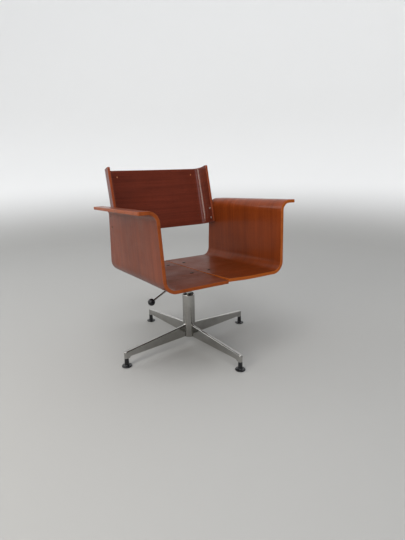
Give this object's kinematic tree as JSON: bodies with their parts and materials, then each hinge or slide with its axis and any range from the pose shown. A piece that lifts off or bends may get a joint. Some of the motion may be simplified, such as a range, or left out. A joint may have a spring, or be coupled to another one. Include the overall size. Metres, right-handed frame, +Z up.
{
  "type": "swivel armchair",
  "caption": "Swivel armchair: bent plywood shells form seat, sides and arms, with a bent plywood back, a gas-lift column with a ball-knob lever and a chromed star base on glides.",
  "frame": {"origin": "on the floor, on the column axis, midway between the glides", "axes": "+Z up along the column; the sitter faces -Y; +X is to the right of someone looking at the chair's front"},
  "size_m": [0.6756, 0.6756, 0.7727],
  "materials": {
    "shell_ply": "red-brown veneer, glossy lacquer",
    "back_ply": "dark red-brown veneer, glossy lacquer",
    "plug_wood": "lacquered",
    "chrome": "polished, lightly worn",
    "bright_steel": "zinc-bright",
    "black_steel": "satin black",
    "dark_steel": "blackened, worn",
    "brass": "turned",
    "black_plastic": "moulded",
    "knob_black": "polished phenolic",
    "glide_black": "moulded, scuffed rim",
    "rubber": "moulded"
  },
  "bodies": {
    "base": {"base_arm_left": "chrome", "base_arm_front": "chrome", "base_arm_right": "chrome", "base_arm_rear": "chrome", "column_tube": "chrome", "column_collar": "chrome", "guide_bush": "black_plastic", "column_end_plate": "bright_steel", "bearing_lower_race": "bright_steel", "bearing_balls": "bright_steel", "ball_cage": "brass"},
    "spindle": {"piston_rod": "bright_steel", "piston": "bright_steel", "lift_buffer": "rubber", "rod_washer": "bright_steel", "rod_clip": "bright_steel", "bearing_upper_race": "bright_steel"},
    "seat": {"gas_cylinder": "chrome", "cylinder_gland": "black_plastic", "hub_socket": "black_steel", "seat_plate": "black_steel", "hub_gussets": "black_steel", "lever_bracket": "black_steel", "lever_pivot_pin": "bright_steel", "left_shell": "shell_ply", "right_shell": "shell_ply", "backrest": "back_ply", "back_plugs": "plug_wood", "seat_bolts": "dark_steel", "seat_washers": "bright_steel", "seat_nuts": "bright_steel", "back_screws": "bright_steel", "wall_inserts": "brass"},
    "lever": {"lever_rod": "chrome", "lever_knob": "knob_black", "knob_insert": "brass"},
    "release": {"release_pin": "bright_steel"},
    "foot_left": {"glide_left": "glide_black", "glide_stud_left": "bright_steel"},
    "foot_front": {"glide_front": "glide_black", "glide_stud_front": "bright_steel"},
    "foot_right": {"glide_right": "glide_black", "glide_stud_right": "bright_steel"},
    "foot_rear": {"glide_rear": "glide_black", "glide_stud_rear": "bright_steel"}
  },
  "joints": [
    {"name": "swivel", "type": "hinge", "parent": "base", "child": "spindle", "pos_m": [0, 0, 0.045], "axis": [0, 0, 1], "continuous": true},
    {"name": "height", "type": "slide", "parent": "spindle", "child": "seat", "axis": [0, 0, 1], "range_m": [0, 0.09]},
    {"name": "lever_pull", "type": "hinge", "parent": "seat", "child": "lever", "pos_m": [-0.02606, -0.01857, 0.322], "axis": [-0.5802, 0.8145, 0], "range_deg": [0, 6], "stiffness_Nm_per_rad": 4, "springref_deg": -5.73},
    {"name": "release_press", "type": "slide", "parent": "seat", "child": "release", "axis": [0, 0, -1], "range_m": [0, 0.0034]},
    {"name": "glide_left_turn", "type": "hinge", "parent": "base", "child": "foot_left", "pos_m": [-0.31726, -0.05082, 0.03], "axis": [0, 0, 1], "continuous": true},
    {"name": "glide_front_turn", "type": "hinge", "parent": "base", "child": "foot_front", "pos_m": [0.05082, -0.31726, 0.03], "axis": [0, 0, 1], "continuous": true},
    {"name": "glide_right_turn", "type": "hinge", "parent": "base", "child": "foot_right", "pos_m": [0.31726, 0.05082, 0.03], "axis": [0, 0, 1], "continuous": true},
    {"name": "glide_rear_turn", "type": "hinge", "parent": "base", "child": "foot_rear", "pos_m": [-0.05082, 0.31726, 0.03], "axis": [0, 0, 1], "continuous": true}
  ],
  "couplings": [
    {"joint": "release_press", "follows": "lever_pull", "m_per_rad": 0.032}
  ]
}
